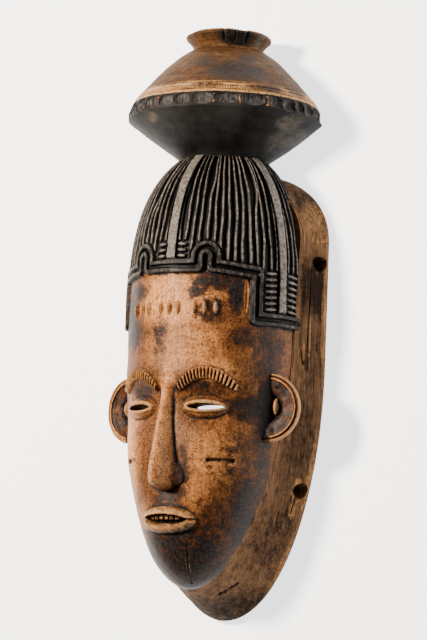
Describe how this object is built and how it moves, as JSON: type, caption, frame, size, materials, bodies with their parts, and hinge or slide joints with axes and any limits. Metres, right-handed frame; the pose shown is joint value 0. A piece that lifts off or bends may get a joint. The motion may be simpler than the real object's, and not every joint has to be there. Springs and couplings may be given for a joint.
{
  "type": "carved wooden face mask",
  "caption": "Face mask carved from one block of wood, with fluted hair and a pot on the crown, lying on its open back.",
  "frame": {"origin": "middle of the flat back, halfway up the mask", "axes": "+Y from chin to crown, +X to the right as seen from in front, +Z out of the face"},
  "size_m": [0.163, 0.43, 0.1111],
  "materials": {
    "carved_wood": "oiled and smoked patina, black hair"
  },
  "bodies": {
    "root": {"carved_mask": "carved_wood"}
  },
  "joints": []
}
